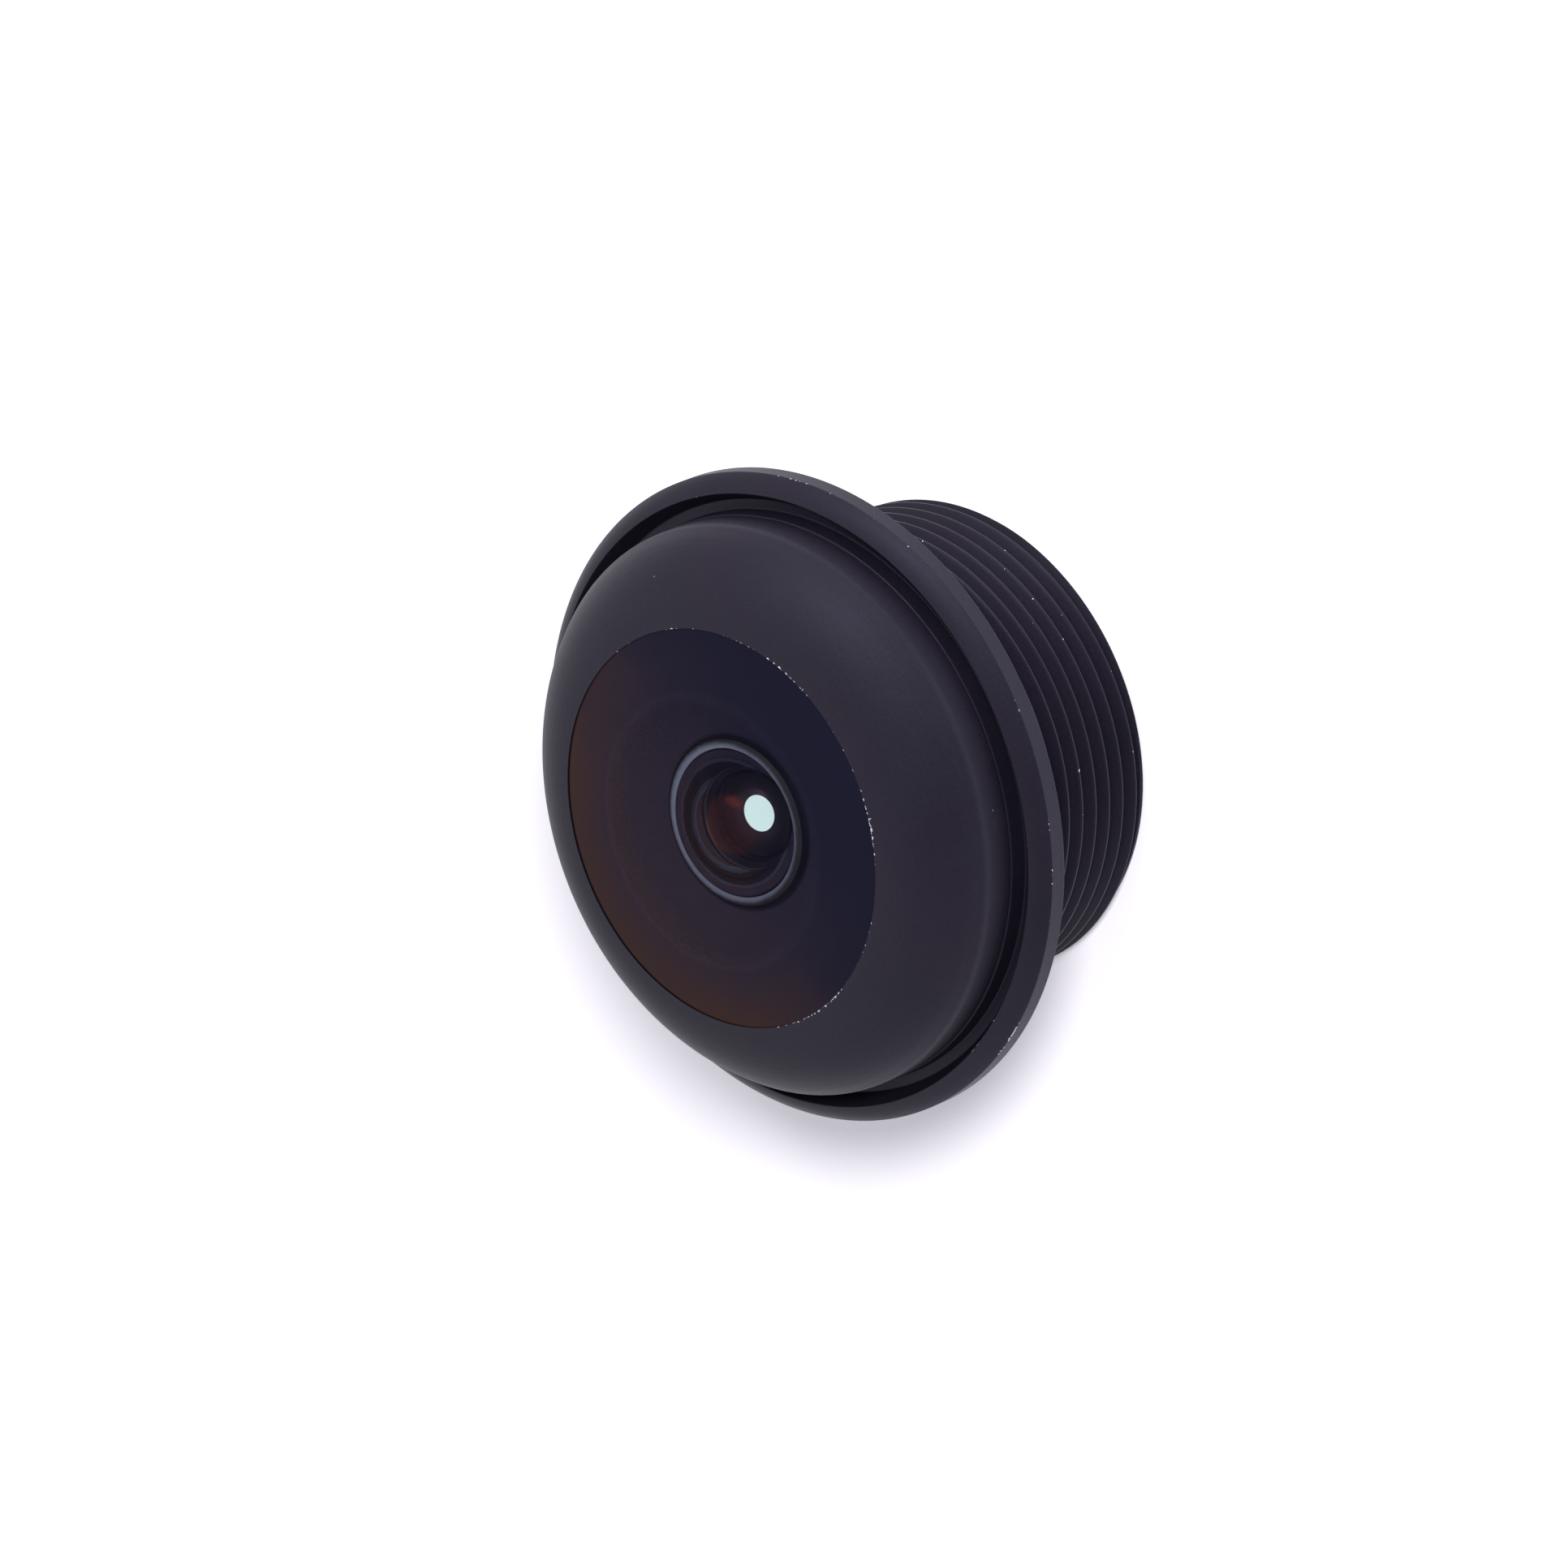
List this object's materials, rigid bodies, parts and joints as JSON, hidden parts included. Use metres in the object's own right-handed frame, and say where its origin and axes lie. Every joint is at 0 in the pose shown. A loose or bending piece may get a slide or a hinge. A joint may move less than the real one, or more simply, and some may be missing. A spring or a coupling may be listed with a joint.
{
  "type": "m12 board camera lens",
  "caption": "Small black board camera lens: domed front cap round dark glass, seal groove flange and M12 mounting thread, with glass elements, spacers and stop inside.",
  "frame": {"origin": "middle of the rear end face, on the optical axis", "axes": "+Z along the optical axis towards the front of the lens"},
  "size_m": [0.0164, 0.0164, 0.0097],
  "materials": {
    "barrel_black": "satin black anodised, turned",
    "cap_black": "satin black anodised, fine blasted",
    "inner_black": "matt black anodised",
    "front_glass": "polished, violet and amber coating",
    "inner_glass": "polished, coated",
    "filter_glass": "polished, infrared cut coating",
    "black_film": "matt black film",
    "seal_rubber": "matt"
  },
  "bodies": {
    "root": {"barrel": "barrel_black", "front_cap": "cap_black", "front_lens": "front_glass", "front_seal": "seal_rubber", "front_light_shield": "black_film", "second_lens": "inner_glass", "front_spacer": "inner_black", "third_lens": "inner_glass", "middle_spacer": "inner_black", "aperture_stop": "black_film", "stop_spacer": "inner_black", "crown_lens": "inner_glass", "flint_lens": "inner_glass", "long_spacer": "inner_black", "rear_lens": "inner_glass", "rear_light_shield": "black_film", "infrared_filter": "filter_glass", "slotted_ring": "inner_black"}
  },
  "joints": []
}
